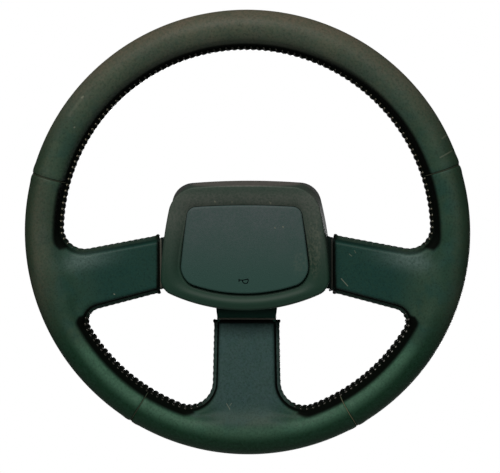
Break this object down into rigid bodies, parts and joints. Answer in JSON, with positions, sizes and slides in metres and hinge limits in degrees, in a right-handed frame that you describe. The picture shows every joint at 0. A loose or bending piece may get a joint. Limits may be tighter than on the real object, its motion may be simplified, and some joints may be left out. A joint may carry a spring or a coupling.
{
  "type": "car steering wheel",
  "caption": "Three-spoke car steering wheel with a laced leather grip, a moulded centre pad and a horn button that is pressed in.",
  "frame": {"origin": "on the column axis, at the back face of the hub boss", "axes": "+Y runs along the column away from the driver, +Z points to twelve o'clock, +X is to the driver's right"},
  "size_m": [0.38, 0.0725, 0.38],
  "materials": {
    "leather": "dark grey, worn, satin",
    "thread": "waxed thread, rubbed grey on top",
    "foam": "moulded skin, matt",
    "pad": "soft moulding with a fine grain",
    "panel": "fine leather grain",
    "inner_plastic": "plain moulding",
    "bare_steel": "turned",
    "painted_steel": "black primer",
    "spring_steel": "plain",
    "zinc_steel": "zinc plated",
    "brass": "plain",
    "wire": "insulated wire"
  },
  "bodies": {
    "wheel": {"rim_core": "bare_steel", "spoke_carrier": "painted_steel", "hub_boss": "bare_steel", "grip_foam": "foam", "leather_top": "leather", "leather_left": "leather", "leather_right": "leather", "leather_bottom": "leather", "lacing_top": "thread", "lacing_lower_left": "thread", "lacing_lower_right": "thread", "pad_surround": "pad", "horn_springs": "spring_steel", "contact_base": "inner_plastic", "fixed_contact": "brass", "base_screws": "zinc_steel", "rear_cover": "inner_plastic", "pad_screws": "zinc_steel", "slip_ring_carrier": "inner_plastic", "slip_ring": "brass", "horn_lead": "wire", "lead_terminals": "brass"},
    "button": {"horn_button": "panel", "stem_retainers": "spring_steel", "moving_contact": "brass"}
  },
  "joints": [
    {"name": "horn_press", "type": "slide", "parent": "wheel", "child": "button", "axis": [0, 1, 0], "range_m": [0, 0.0025], "stiffness_N_per_m": 2000, "springref_m": -0.005, "deforming": ["horn_springs"]}
  ]
}
